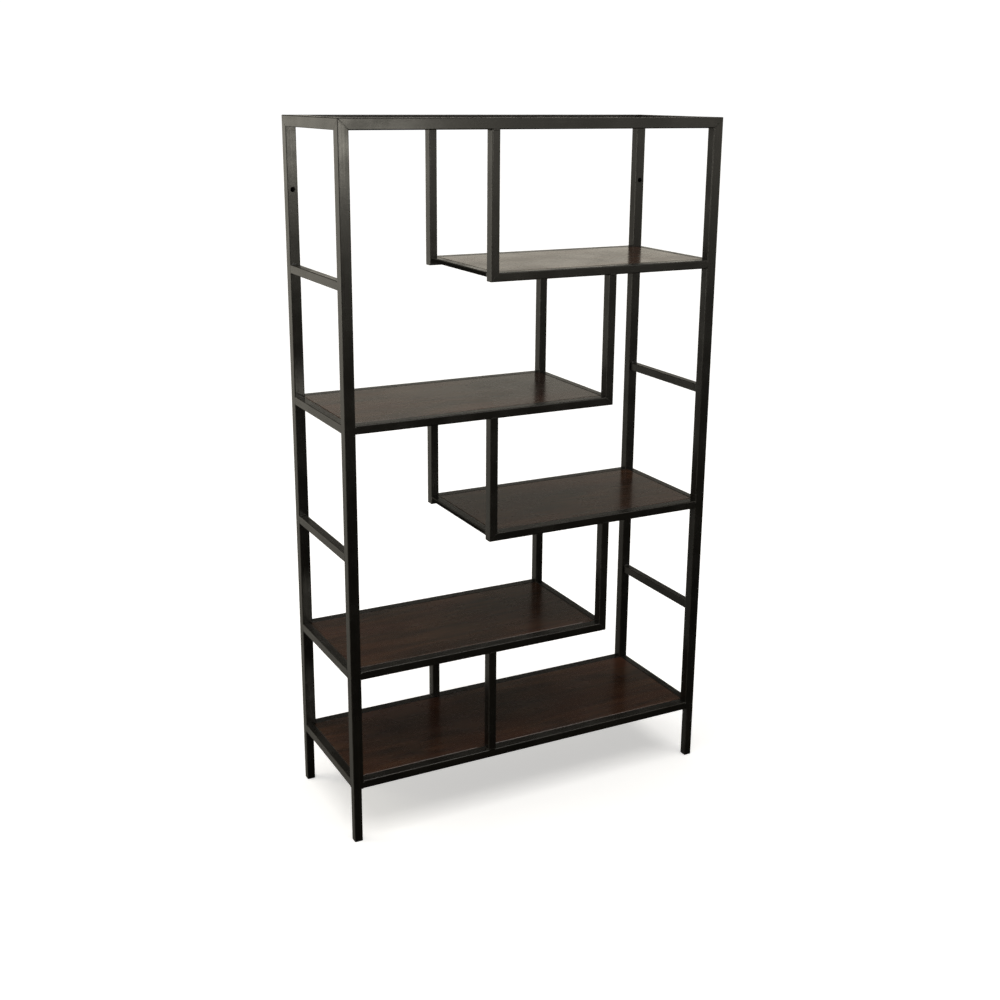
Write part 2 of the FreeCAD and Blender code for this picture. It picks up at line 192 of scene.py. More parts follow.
# How far the surface is turned away from the nearest main direction, broken up by noise.
# The members all lie square, so this is 0 on their flats and rises to 1 on their rounded corners.
def makeRoundedEdges():
    group, given, result = newGroup("roundedEdges", [("Breakup", "NodeSocketFloat", 0.5)],
                                    [("Mask", "NodeSocketFloat")])
    size = addNode(group, "ShaderNodeVectorMath", {0: faceNormal(group)}, operation="ABSOLUTE")
    parts = axisParts(group, size.outputs[0])
    largest = calc(group, "MAXIMUM", calc(group, "MAXIMUM", parts[0], parts[1]), parts[2])
    corner = remap(group, calc(group, "SUBTRACT", 1.0, largest), *edgeWearAndHighlight["corner"])
    patches = noise(group, objectPlace(group), *edgeWearAndHighlight["patches"])
    unmarkedEdge = calc(group, "SUBTRACT", 1.0, remap(group, patches, *edgeWearAndHighlight["patchRange"]))
    kept = calc(group, "SUBTRACT", 1.0, calc(group, "MULTIPLY", given.outputs["Breakup"], unmarkedEdge))
    group.links.new(calc(group, "MULTIPLY", corner, kept), result.inputs["Mask"])
    return group


dustFall = {
    "upward": (0.55, 0.98),            # upward part of the normal where dust starts, and is full
    "patches": (4.0, 0.6),             # detail and roughness
    "patchRange": (0.38, 0.72),
    "specks": (850.0, 1.0),            # scale and detail
    "speckRange": (0.58, 0.7),
    "speckShare": 0.6,
}


# Upward faces, times slow noise: where a little dust has settled.
def makeSettledDust():
    group, given, result = newGroup("settledDust", [("Scale", "NodeSocketFloat", 9.0)],
                                    [("Mask", "NodeSocketFloat")])
    upward = remap(group, axisParts(group, faceNormal(group))[2], *dustFall["upward"])
    place = objectPlace(group)
    patches = noise(group, place, given.outputs["Scale"], *dustFall["patches"])
    patches = remap(group, patches, *dustFall["patchRange"])
    specks = remap(group, noise(group, place, *dustFall["specks"]), *dustFall["speckRange"])
    share = dustFall["speckShare"]
    specks = calc(group, "MULTIPLY_ADD", specks, share, 1.0 - share)
    mixed = calc(group, "MULTIPLY", patches, specks)
    group.links.new(calc(group, "MULTIPLY", upward, mixed), result.inputs["Mask"])
    return group


slowPatches = {
    "look": (3.0, 0.55),               # detail and roughness
    "range": (0.3, 0.7),
}


# Large soft patches between a low and a high value, for sheen that isn't even all over.
def makeSlowShift():
    group, given, result = newGroup("slowShift", [("Scale", "NodeSocketFloat", 6.0),
                                                  ("Low", "NodeSocketFloat", 0.0),
                                                  ("High", "NodeSocketFloat", 1.0)],
                                    [("Value", "NodeSocketFloat")])
    patches = noise(group, objectPlace(group), given.outputs["Scale"], *slowPatches["look"])
    low, high = given.outputs["Low"], given.outputs["High"]
    value = remap(group, patches, *slowPatches["range"], low, high)
    group.links.new(value, result.inputs["Value"])
    return group


pebbling = {
    "coarse": (2.0, 0.4),              # detail and roughness
    "fineRatio": 2.7,                  # how much finer the second noise is
    "fineShare": 0.35,
}


# The fine pebbled height of a sprayed or baked coat: two sizes of noise added.
def makeOrangePeel():
    group, given, result = newGroup("orangePeel", [("Scale", "NodeSocketFloat", 420.0)],
                                    [("Height", "NodeSocketFloat")])
    place, scale = objectPlace(group), given.outputs["Scale"]
    coarse = noise(group, place, scale, *pebbling["coarse"])
    fine = noise(group, place, calc(group, "MULTIPLY", scale, pebbling["fineRatio"]), 1.0)
    height = calc(group, "MULTIPLY_ADD", fine, pebbling["fineShare"], coarse)
    group.links.new(height, result.inputs["Height"])
    return group


roundedEdges = makeRoundedEdges()
settledDust = makeSettledDust()
slowShift = makeSlowShift()
orangePeel = makeOrangePeel()


# Places a shared effect with its own values, and gives its one output.
def useGroup(tree, group, values):
    return addNode(tree, "ShaderNodeGroup", values, node_tree=group).outputs[0]


# A value that drifts between two ends in slow patches.
def drifting(tree, scale, ends):
    return useGroup(tree, slowShift, {"Scale": scale, "Low": ends[0], "High": ends[1]})


# A finish's lighter rounded edges, which are edge wear and a painted highlight, and its dust over
# its colour.
# Gives the new colour and the mask of the dust.
def addWearAndHighlight(tree, color, finish):
    edges = useGroup(tree, roundedEdges, {"Breakup": finish["edgeBreakup"]})
    color = addLayer(tree, color, edges, finish["edgeShare"], finish["edge"])
    dust = useGroup(tree, settledDust, {"Scale": finish["dustScale"]})
    return addLayer(tree, color, dust, finish["dustShare"], finish["dust"]), dust


# A material with only its Principled shader, and that shader and its node tree.
def newMaterial(name):
    material = bpy.data.materials.new(name)
    material.use_nodes = True
    tree = material.node_tree
    tree.nodes.clear()
    shader = addNode(tree, "ShaderNodeBsdfPrincipled")
    addNode(tree, "ShaderNodeOutputMaterial", {"Surface": shader.outputs[0]})
    return material, tree, shader


def setBump(tree, shader, height, bump):
    values = {"Height": height, "Strength": bump[0], "Distance": bump[1]}
    tree.links.new(addNode(tree, "ShaderNodeBump", values).outputs[0], shader.inputs["Normal"])


# finishes

blackCoat = {
    "base": (0.003, 0.0026, 0.002),
    "faded": (0.007, 0.0061, 0.0047),
    "fadeScale": 5.0,
    "streak": (0.017, 0.0143, 0.0108),
    "streakShare": 0.4,
    "streakStretch": (2.2, 240.0),     # scale of the noise along the tube, and across it
    "streakLook": (3.0, 0.6),
    "streakRange": (0.46, 0.72),
    # colour of the rounded edges: edge wear and a painted highlight
    "edge": (0.075, 0.068, 0.056),
    "edgeShare": 0.42,
    "edgeBreakup": 0.7,
    "dust": (0.16, 0.15, 0.135),
    "dustShare": 0.05,
    "dustScale": 11.0,
    "roughness": (0.2, 0.3),
    "roughnessScale": 14.0,
    "dustRoughness": 0.15,             # added under dust
    "streakRoughness": -0.05,
    "shadedSideRoughness": 0.85,            # of the sides at the free ends, which carry painted shade
    "shadedSides": (0.15, 0.4),          # upward part of the normal where the painted shade on the sides turns to the coat
    "specular": 0.5,
    "peel": 430.0,
    "streakHeight": 0.35,
    "bump": (0.13, 0.0004),            # strength and distance
}


# Satin black coat on steel tube, pebbled and slightly faded in patches. The drawn tube's faint
# streaks run along it, so there is one finish for each way that a tube lies. With dark sides, what
# doesn't look up is made black and unreflective: painted shade on those sides.
def makeBlackCoat(name, alongAxis, darkSides=False):
    material, tree, shader = newMaterial(name)
    along, across = blackCoat["streakStretch"]
    stretch = [along if axis == alongAxis else across for axis in range(3)]
    lines = stretchedNoise(tree, objectPlace(tree), stretch, blackCoat["streakLook"])
    streaks = remap(tree, lines, *blackCoat["streakRange"])
    fade = useGroup(tree, slowShift, {"Scale": blackCoat["fadeScale"]})
    color = blendColors(tree, fade, blackCoat["base"], blackCoat["faded"])
    color = addLayer(tree, color, streaks, blackCoat["streakShare"], blackCoat["streak"])
    # lighter rounded edges, partly a painted highlight, then dust on what faces up
    color, dust = addWearAndHighlight(tree, color, blackCoat)
    tree.links.new(color, shader.inputs["Base Color"])
    rough = drifting(tree, blackCoat["roughnessScale"], blackCoat["roughness"])
    rough = calc(tree, "MULTIPLY_ADD", streaks, blackCoat["streakRoughness"], rough)
    rough = calc(tree, "MULTIPLY_ADD", dust, blackCoat["dustRoughness"], rough)
    # Painted shade: the sides that don't look up get full metallic on the black base, so they
    # reflect almost nothing.
    if darkSides:
        upward = axisParts(tree, faceNormal(tree))[2]
        sides = remap(tree, upward, *blackCoat["shadedSides"], 1.0, 0.0)
        bare = calc(tree, "MULTIPLY", sides, blackCoat["shadedSideRoughness"])
        rough = calc(tree, "MAXIMUM", rough, bare)
        tree.links.new(sides, shader.inputs["Metallic"])
    tree.links.new(rough, shader.inputs["Roughness"])
    shader.inputs["Specular IOR Level"].default_value = blackCoat["specular"]
    pebbles = useGroup(tree, orangePeel, {"Scale": blackCoat["peel"]})
    height = calc(tree, "MULTIPLY_ADD", lines, blackCoat["streakHeight"], pebbles)
    setBump(tree, shader, height, blackCoat["bump"])
    return material


espresso = {
    "dark": (0.0125, 0.0052, 0.0027),
    "middle": (0.037, 0.0155, 0.0068),
    "light": (0.074, 0.031, 0.0132),
    "toneStops": (0.36, 0.56, 0.8),          # where the timber is dark, middle and light
    "toneShares": (0.2, 0.3, 0.62),          # of the bands, the fibres and the blotches
    "figureStretch": (1.1, 8.0, 8.0),        # how the slow figure runs along the shelf
    "figurePlace": (0.0, 0.3, 2.7),
    "figureLook": (4.0, 0.55, 0.9),
    "bandRate": 130.0,                       # radians of the band's sine for each metre across
    "bandBend": 40.0,
    "fibreStretch": (7.0, 520.0, 520.0),
    "fibreLook": (3.0, 0.6),
    "blotchStretch": (5.0, 26.0, 26.0),
    "blotchLook": (5.0, 0.58, 0.4),
    "redder": (0.062, 0.0185, 0.0088),
    "redShare": 0.5,
    "redStretch": (3.0, 10.0, 10.0),
    "redPlace": (4.1, 0.7, 1.9),
    "redLook": (3.0,),
    "redRange": (0.42, 0.66),
    "pore": (0.006, 0.0028, 0.0018),
    "poreShare": 0.5,
    "poreStretch": (60.0, 1500.0, 1500.0),
    "poreLook": (1.0,),
    "poreRange": (0.62, 0.7),
    # colour of the rounded edges: edge wear and a painted highlight
    "edge": (0.085, 0.056, 0.038),
    "edgeShare": 0.35,
    "edgeBreakup": 0.5,
    "dust": (0.2, 0.18, 0.16),
    "dustShare": 0.03,
    "dustScale": 7.0,
    "roughness": (0.19, 0.28),
    "roughnessScale": 8.0,
    "fibreRoughness": 0.04,
    "poreRoughness": 0.1,
    "coatRoughness": 0.12,
    "coatWeight": 0.4,
    "fibreHeight": 0.5,
    "poreDepth": 0.6,
    "bump": (0.06, 0.0002),                  # strength and distance
}


# Dark stained timber under semi-gloss lacquer. Its grain runs along X: bands across the shelf, which
# are a sine of the distance from front to back bent by slow noise, then blotches of stain, fine
# fibres and pores.
def makeEspresso():
    material, tree, shader = newMaterial("espressoTimber")
    place = objectPlace(tree)
    bend = stretchedNoise(tree, place, espresso["figureStretch"], espresso["figureLook"],
                          espresso["figurePlace"])
    bend = calc(tree, "MULTIPLY", bend, espresso["bandBend"])
    across = calc(tree, "MULTIPLY_ADD", axisParts(tree, place)[1], espresso["bandRate"], bend)
    bands = calc(tree, "MULTIPLY_ADD", calc(tree, "SINE", across), 0.5, 0.5)
    fibres = stretchedNoise(tree, place, espresso["fibreStretch"], espresso["fibreLook"])
    blotches = stretchedNoise(tree, place, espresso["blotchStretch"], espresso["blotchLook"])
    bandShare, fibreShare, blotchShare = espresso["toneShares"]
    tone = calc(tree, "MULTIPLY", blotches, blotchShare)
    tone = calc(tree, "MULTIPLY_ADD", fibres, fibreShare, tone)
    tone = calc(tree, "MULTIPLY_ADD", bands, bandShare, tone)
    ramp = addNode(tree, "ShaderNodeValToRGB", {0: tone})
    stops = ramp.color_ramp.elements
    darkAt, middleAt, lightAt = espresso["toneStops"]
    stops[0].position, stops[0].color = darkAt, (*espresso["dark"], 1.0)
    stops[1].position, stops[1].color = lightAt, (*espresso["light"], 1.0)
    stops.new(middleAt).color = (*espresso["middle"], 1.0)
    stain = stretchedNoise(tree, place, espresso["redStretch"], espresso["redLook"],
                           espresso["redPlace"])
    stain = remap(tree, stain, *espresso["redRange"])
    color = addLayer(tree, ramp.outputs[0], stain, espresso["redShare"], espresso["redder"])
    pores = stretchedNoise(tree, place, espresso["poreStretch"], espresso["poreLook"])
    pores = remap(tree, pores, *espresso["poreRange"])
    color = addLayer(tree, color, pores, espresso["poreShare"], espresso["pore"])
    # lighter rounded edges, partly a painted highlight, then dust on what faces up
    color = addWearAndHighlight(tree, color, espresso)[0]
    tree.links.new(color, shader.inputs["Base Color"])
    rough = drifting(tree, espresso["roughnessScale"], espresso["roughness"])
    rough = calc(tree, "MULTIPLY_ADD", fibres, espresso["fibreRoughness"], rough)
    rough = calc(tree, "MULTIPLY_ADD", pores, espresso["poreRoughness"], rough)
    tree.links.new(rough, shader.inputs["Roughness"])
    shader.inputs["Coat Weight"].default_value = espresso["coatWeight"]
    shader.inputs["Coat Roughness"].default_value = espresso["coatRoughness"]
    height = calc(tree, "SUBTRACT", calc(tree, "MULTIPLY", fibres, espresso["fibreHeight"]),
                  calc(tree, "MULTIPLY", pores, espresso["poreDepth"]))
    setBump(tree, shader, height, espresso["bump"])
    return material


mouldedFoot = {
    "base": (0.011, 0.011, 0.0115),
    "scuffed": (0.06, 0.058, 0.055),
    "scuffShare": 0.8,
    "scuffBreakup": 0.4,
    "roughness": (0.5, 0.66),
    "roughnessScale": 60.0,
    "grain": 900.0,
    "bump": (0.22, 0.0003),
}


# Matte moulded plastic with a fine grain, scuffed on its corners.
def makeMouldedFoot():
    material, tree, shader = newMaterial("mouldedPlastic")
    edges = useGroup(tree, roundedEdges, {"Breakup": mouldedFoot["scuffBreakup"]})
    color = addLayer(tree, mouldedFoot["base"], edges, mouldedFoot["scuffShare"],
                     mouldedFoot["scuffed"])
    tree.links.new(color, shader.inputs["Base Color"])
    rough = drifting(tree, mouldedFoot["roughnessScale"], mouldedFoot["roughness"])
    tree.links.new(rough, shader.inputs["Roughness"])
    grain = useGroup(tree, orangePeel, {"Scale": mouldedFoot["grain"]})
    setBump(tree, shader, grain, mouldedFoot["bump"])
    return material


zincScrew = {
    "base": (0.4, 0.395, 0.38),
    "dull": (0.2, 0.195, 0.185),
    "dullScale": 260.0,
    "roughness": (0.26, 0.48),
    "roughnessScale": 420.0,
    "grain": 1400.0,
    "bump": (0.1, 0.0001),
}


# Dull zinc plate: bright metal with darker patches.
def makeZincScrew():
    material, tree, shader = newMaterial("zincPlate")
    patches = useGroup(tree, slowShift, {"Scale": zincScrew["dullScale"]})
    color = blendColors(tree, patches, zincScrew["base"], zincScrew["dull"])
    tree.links.new(color, shader.inputs["Base Color"])
    rough = drifting(tree, zincScrew["roughnessScale"], zincScrew["roughness"])
    tree.links.new(rough, shader.inputs["Roughness"])
    shader.inputs["Metallic"].default_value = 1.0
    grain = useGroup(tree, orangePeel, {"Scale": zincScrew["grain"]})
    setBump(tree, shader, grain, zincScrew["bump"])
    return material


coatNames = ("blackCoatAcross", "blackCoatDeep", "blackCoatUpright")     # tubes along X, Y, Z
coats = [makeBlackCoat(name, axis) for axis, name in enumerate(coatNames)]
# The free ends' coat, with painted shade on its sides.
endCoat = makeBlackCoat("blackCoatFreeEnd", 1, darkSides=True)
freeEnds = [f"shelf_{shelf}_rail_{opposite[reach]}" for shelf, reach in shelfReach.items()
            if reach != "full"]
finishes = {
    "panel": makeEspresso(),
    "foot": makeMouldedFoot(),
    "screw": makeZincScrew(),
}
for name, node in nodes.items():
    sizes = [high - low for low, high in zip(*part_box(name))]
    coat = endCoat if name in freeEnds else coats[sizes.index(max(sizes))]
    node.data.materials.clear()
    node.data.materials.append(finishes.get(slotOf[name], coat))
print("finishes:", len(finishes) + len(coats) + 1, "on", len(nodes), "nodes")


# weld beads in the inner corners

cornerWeld = {
    "size": 0.0026,        # how far the bead reaches out of the corner
    "sizeSpread": (0.85, 1.12),
    "endSize": 0.25,       # at the bead's two ends, as a share of its size
    "endSharpness": 8,
    "flattening": 0.2,     # how much shallower the bead is than a quarter circle
    "pitch": 0.0019,       # from one ripple to the next
    "ripple": 0.1,
    "bury": 0.0004,        # how far its hidden edge lies inside the steel
    "edgeBury": 0.25,      # how much of that its two visible edges are sunk
    "railInset": 0.004,    # how far the bead under a rail stops short of the rail's faces
    "endInset": 0.003,     # and every other bead
    "rings": 21,
    "around": 8,
    "seed": 11,
}


# Start, end and the two directions out of the corner, for each hidden inner corner where one tube
# ends on another.
def cornerWeldBeads():
    beads = []
    railInset, endInset = cornerWeld["railInset"], cornerWeld["endInset"]
    for shelf, reach in shelfReach.items():
        under = span(f"shelf_{shelf}_rail_front", 2)[0]
        for side in ("front", "back"):
            rail = f"shelf_{shelf}_rail_{side}"
            out = sideSigns[side]
            yInner, yOuter = span(rail, 1)[::-1] if out < 0 else span(rail, 1)
            for end, x in zip(("left", "right"), span(f"shelf_{shelf}_rail_front", 0)):
                if reach in (end, "full"):                    # this end meets a post
                    beads.append(((x, yOuter - out * railInset, under),
                                  (x, yInner + out * railInset, under),
                                  (-sideSigns[end], 0, 0), (0, 0, -1)))
        for side in ("left", "right"):                        # below the end rails
            xEnds, yEnds, zEnds = (span(f"shelf_{shelf}_rail_{side}", axis) for axis in range(3))
            for y, away in zip(yEnds, (1, -1)):
                beads.append(((xEnds[0] + endInset, y, zEnds[0]),
                              (xEnds[1] - endInset, y, zEnds[0]), (0, away, 0), (0, 0, -1)))
    for node, side in rungs:
        xEnds, yEnds, zEnds = (span(node, axis) for axis in range(3))
        for y, away in zip(yEnds, (1, -1)):
            for z, outward in zip(zEnds, (-1, 1)):
                beads.append(((xEnds[0] + endInset, y, z), (xEnds[1] - endInset, y, z),
                              (0, away, 0), (0, 0, outward)))
    for bar in dropBars:
        for side in ("front", "back"):
            xEnds, yEnds, zEnds = (span(f"drop_bar_{bar}_{side}", axis) for axis in range(3))
            for x, outward in zip(xEnds, (-1, 1)):
                for z, away in ((zEnds[1], -1), (zEnds[0], 1))[:2 if bar == footedBar else 1]:
                    beads.append(((x, yEnds[0] + endInset, z), (x, yEnds[1] - endInset, z),
                                  (outward, 0, 0), (0, 0, away)))
    return beads


# A convex bead B(u, v) = start + u (end - start) + r(u, v) (cos v A + sin v C), with A and C the
# two directions out of the corner along the steel, v from 0 to 90 degrees, and r a size that ripples
# along the bead and sinks at both ends. A last point inside the corner closes each ring.
def makeCornerWelds():
    start, end, first, second = (np.array(v, float) for v in zip(*cornerWeldBeads()))
    count, rings, around = len(start), cornerWeld["rings"], cornerWeld["around"]
    length = np.linalg.norm(end - start, axis=1)
    chance = np.random.default_rng(cornerWeld["seed"])
    u = np.linspace(0.0, 1.0, rings)
    phase = chance.uniform(0, 2 * np.pi, count)
    ripple = np.sin(2 * np.pi * u[None] * (length / cornerWeld["pitch"])[:, None] + phase[:, None])
    swell = 1.0 - np.abs(2 * u - 1.0) ** cornerWeld["endSharpness"]      # full along the bead
    swell = cornerWeld["endSize"] + (1.0 - cornerWeld["endSize"]) * swell
    size = cornerWeld["size"] * chance.uniform(*cornerWeld["sizeSpread"], count)
    r = size[:, None] * swell[None] * (1.0 + cornerWeld["ripple"] * ripple)
    v = np.linspace(0.0, np.pi / 2, around - 1)
    flat = 1.0 - cornerWeld["flattening"] * np.sin(2 * v)
    arc = np.cos(v)[:, None] * first[:, None, None] + np.sin(v)[:, None] * second[:, None, None]
    path = start[:, None] + u[None, :, None] * (end - start)[:, None]
    surface = path[:, :, None] + r[:, :, None, None] * flat[None, None, :, None] * arc
    sunk = -cornerWeld["bury"] * (first + second)[:, None, None]
    surface = surface + sunk * cornerWeld["edgeBury"]
    inside = (path + sunk[:, 0])[:, :, None]
    points = np.concatenate([surface, inside], 2)
    flip = np.einsum("ij,ij->i", np.cross(first, second), end - start) < 0
    points[flip] = points[flip][:, ::-1]                      # every bead is wound the same way
    addPiece("cornerWelds", points, ringFaces(count, rings, around), coats[2])


makeCornerWelds()


# ground seams on the outer faces

groundSeam = {
    "cornerRadius": 0.0022,       # of the tubes
    "mitreWidth": 0.0022,
    "mitreDepth": 0.0003,         # how deep the hidden side of a seam lies
    "buttWidth": 0.0044,
    "buttDepth": 0.0021,          # a butt seam also fills the groove beside the rounded corner
    "height": 0.00018,
    "heightSpread": (0.6, 1.0),
    "widthSpread": (0.9, 0.2),    # the width of a flat seam, and what its height adds
    "endTaper": 0.5,
    "endSharpness": 12,
    "edgeBury": 0.2,              # how deep its two edges lie, as a share of mitreDepth
    "rings": 9,
    "around": 9,
    "seed": 5,
}


# Start, end, outward direction and kind of each seam that was ground flat on the outside of the
# frame. The kind is 0 for a mitre and 1 for a butt joint.
def groundSeamLines():
    lines = []
    left, right = span("post_front_left", 0)[0], span("post_front_right", 0)[1]
    front, back = span("post_front_left", 1)[0], span("post_back_left", 1)[1]
    rimUnder, rimTop = span("top_rail_front", 2)
    inset = groundSeam["cornerRadius"]            # seams stop short of the rounded corners
    reachIn = rimTop - rimUnder - inset
    nearZ, farZ = rimTop - inset, rimTop - reachIn
    for x, toX in ((left, 1), (right, -1)):
        for y, toY in ((front, 1), (back, -1)):
            nearX, farX = x + toX * inset, x + toX * reachIn
            nearY, farY = y + toY * inset, y + toY * reachIn
            lines.append(((nearX, y, nearZ), (farX, y, farZ), (0, -toY, 0), 0))
            lines.append(((x, nearY, nearZ), (x, farY, farZ), (-toX, 0, 0), 0))
            lines.append(((nearX, nearY, rimTop), (farX, farY, rimTop), (0, 0, 1), 0))
    for shelf, reach in shelfReach.items():
        under, top = span(f"shelf_{shelf}_rail_front", 2)
        low, high = under + inset, top - inset
        for side, y in (("front", front), ("back", back)):
            outward = (0, sideSigns[side], 0)
            for end, x in zip(("left", "right"), span(f"shelf_{shelf}_rail_{side}", 0)):
                if reach in (end, "full"):
                    lines.append(((x, y, low), (x, y, high), outward, 1))
                else:                                         # the mitred corner under a drop bar
                    barX = span(f"drop_bar_{shelf}_{side}", 0)
                    toX = -sideSigns[end]
                    wide = barX[1] - barX[0] - inset
                    lines.append(((x + toX * inset, y, low), (x + toX * wide, y, high), outward, 0))
    ends = [(f"shelf_{shelf}_rail_{side}", side)
            for shelf in shelfReach for side in ("left", "right")]
    for node, side in ends + rungs:
        under, top = span(node, 2)
        x = span(node, 0)[0 if side == "left" else 1]
        for y in span(node, 1):
            lines.append(((x, y, under + inset), (x, y, top - inset), (sideSigns[side], 0, 0), 1))
    for bar in dropBars:
        for side, y in (("front", front), ("back", back)):
            outward = (0, sideSigns[side], 0)
            xEnds, zEnds = span(f"drop_bar_{bar}_{side}", 0), span(f"drop_bar_{bar}_{side}", 2)
            for z in zEnds if bar == footedBar else zEnds[1:]:
                lines.append(((xEnds[0] + inset, y, z), (xEnds[1] - inset, y, z), outward, 1))
    return lines


# A low lens along each line: S(u, v) = start + u (end - start) + w(u) cos v A + h(u) sin v N, with
# N out of the face, A across the line, v from 0 to 180 degrees. A last point under the face closes
# each ring.
def makeGroundSeams():
    start, end, outward, isButt = (np.array(v, float) for v in zip(*groundSeamLines()))
    along = end - start
    across = np.cross(outward, along)
    across /= np.linalg.norm(across, axis=1)[:, None]
    count, rings, around = len(start), groundSeam["rings"], groundSeam["around"]
    chance = np.random.default_rng(groundSeam["seed"])
    u = np.linspace(0.0, 1.0, rings)
    v = np.linspace(0.0, np.pi, around - 1)
    worn = chance.uniform(*groundSeam["heightSpread"], (count, rings))
    wide = np.where(isButt, groundSeam["buttWidth"], groundSeam["mitreWidth"])
    deep = np.where(isButt, groundSeam["buttDepth"], groundSeam["mitreDepth"])
    taper = 1.0 - groundSeam["endTaper"] * np.abs(2 * u - 1.0) ** groundSeam["endSharpness"]
    leastWide, wornWide = groundSeam["widthSpread"]
    width = 0.5 * wide[:, None] * (leastWide + wornWide * worn) * taper
    height = groundSeam["height"] * worn * taper
    path = start[:, None] + u[None, :, None] * along[:, None]
    surface = (path[:, :, None]
               + (width[:, :, None] * np.cos(v))[..., None] * across[:, None, None]
               + (height[:, :, None] * np.sin(v))[..., None] * outward[:, None, None])
    sunk = groundSeam["edgeBury"] * groundSeam["mitreDepth"]
    surface[:, :, [0, -1]] -= sunk * outward[:, None, None]
    hidden = path[:, :, None] - (deep[:, None] * taper)[:, :, None, None] * outward[:, None, None]
    points = np.concatenate([surface, hidden], 2)
    addPiece("groundSeams", points, ringFaces(count, rings, around), coats[2])


makeGroundSeams()


# screws under the shelves

shelfScrew = {
    "headRadius": 0.004,
    "headHeight": 0.0022,
    "ringShares": (0.03, 0.07, 0.12, 0.2, 0.3, 0.4, 0.5, 0.58,
                   0.68, 0.78, 0.87, 0.94, 0.985, 1.0, 1.0),
    "domeFall": 0.35,             # how much lower the dome is at its rim, as a share of its height
    "rimHeight": 0.35,            # of the straight side below the dome
    "recessReach": 0.0022,
    "recessFade": 0.0004,         # how far the end of an arm slopes
    "recessWidth": 0.0005,
    "recessDepth": 0.0014,
    "deepest": 0.8,               # of the head's height
    "tabInset": 0.09,
    "tabReach": 0.01,
    "panelGap": 0.001,
    "tabThickness": 0.0025,
    "around": 40,
    "seed": 3,
}


# The middle of each screw head, on the underside of its tab.
def screwPlaces():
    places = []
    gap = shelfScrew["panelGap"]
    for shelf, reach in shelfReach.items():
        x, y, z = (span(f"shelf_{shelf}_panel", axis) for axis in range(3))
        xReach = (x[1] - x[0]) / 2 + gap - shelfScrew["tabInset"]
        yReach = (y[1] - y[0]) / 2 + gap - shelfScrew["tabReach"]
        for share in (-1, 0, 1) if reach == "full" else (-1, 1):
            for side in (-1, 1):
                places.append(((x[0] + x[1]) / 2 + share * xReach, side * yReach,
                               z[0] - shelfScrew["tabThickness"]))
    return np.array(places)


# Domed heads with a cross recess. A head is H(r, a) = place + (r cos a, r sin a, -h(r) + d(x, y)):
# h is a dome over the radius, and d the cross, deep where the smaller of |x| and |y| is under half
# its width. Each head is turned by its own angle.
def makeShelfScrews():
    places = screwPlaces()
    radius, tall, around = shelfScrew["headRadius"], shelfScrew["headHeight"], shelfScrew["around"]
    r = radius * np.array(shelfScrew["ringShares"])
    a = np.linspace(0, 2 * np.pi, around, endpoint=False)
    dome = tall * (1.0 - (r / radius) ** 2 * shelfScrew["domeFall"])
    dome[-2] = tall * shelfScrew["rimHeight"]
    dome[-1] = 0.0
    spin = np.random.default_rng(shelfScrew["seed"]).uniform(0, np.pi / 2, len(places))
    x = r[:, None] * np.cos(a)
    y = r[:, None] * np.sin(a)
    narrow = np.clip(1.5 - np.minimum(np.abs(x), np.abs(y)) / shelfScrew["recessWidth"], 0, 1)
    reach = np.clip((shelfScrew["recessReach"] - np.hypot(x, y)) / shelfScrew["recessFade"], 0, 1)
    depth = np.minimum(shelfScrew["recessDepth"], tall * shelfScrew["deepest"]) * narrow * reach
    z = -dome[:, None] + depth
    cosine, sine = np.cos(spin)[:, None, None], np.sin(spin)[:, None, None]
    turned = np.stack([cosine * x - sine * y, sine * x + cosine * y,
                       np.broadcast_to(z, (len(places), *z.shape))], -1)
    points = turned + places[:, None, None]
    faces = ringFaces(len(places), len(r), around)
    piece = addPiece("shelfScrews", points, faces, finishes["screw"])
    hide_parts("shelf_screws")


makeShelfScrews()


# floor, light and camera

studio = {
    "floorSize": 80.0,
    "floorColor": (0.86, 0.857, 0.85),
    "floorRoughness": 0.95,
    "floorSpecular": 0.1,
    "floorGlow": 0.5,                        # keeps the floor pale in the shadows
    "floorGlowColor": (1.0, 0.998, 0.994),
    "backdrop": 1.05,
    "roomColor": (1.0, 0.945, 0.81),
    "roomLow": 0.022,                        # brightness far above and below
    "horizon": 1.7,                          # brightness of the room at eye level
    "riseFade": 0.115,                       # how quickly the room darkens above eye level
    "fallFade": 0.06,                        # and below it, away from the window
    "windowFade": 0.3,                       # and below it, on the window's side
    "windowWay": (-0.42, 0.907, 0.0),
    "windowFadeSpread": (0.3, 0.9),          # how far round the window's fade starts, and is full
    "windowShare": 0.7,                      # brightness on the window's side, as a share
    "windowShareSpread": (0.6, 0.95),
    "curtain": (28.0, 33.0, 60.0, 72.0),     # starts, full, thins, ends: degrees left of back
    "curtainShare": 0.72,                    # how much of the light it takes away
}


# A plain pale floor. It lights nothing, so the black coat stays black near it.
def makeFloor():
    half = studio["floorSize"] / 2
    mesh = bpy.data.meshes.new("floor")
    corners = [(-half, -half, 0), (half, -half, 0), (half, half, 0), (-half, half, 0)]
    mesh.from_pydata(corners, [], [(0, 1, 2, 3)])
    material, tree, shader = newMaterial("paleFloor")
    shader.inputs["Base Color"].default_value = (*studio["floorColor"], 1.0)
    shader.inputs["Roughness"].default_value = studio["floorRoughness"]
    shader.inputs["Specular IOR Level"].default_value = studio["floorSpecular"]
    shader.inputs["Emission Color"].default_value = (*studio["floorGlowColor"], 1.0)
    shader.inputs["Emission Strength"].default_value = studio["floorGlow"]
    mesh.materials.append(material)
    floor = bpy.data.objects.new("floor", mesh)
    bpy.context.scene.collection.objects.link(floor)
    floor.visible_diffuse = False
    floor.visible_glossy = False
    floor.visible_shadow = False


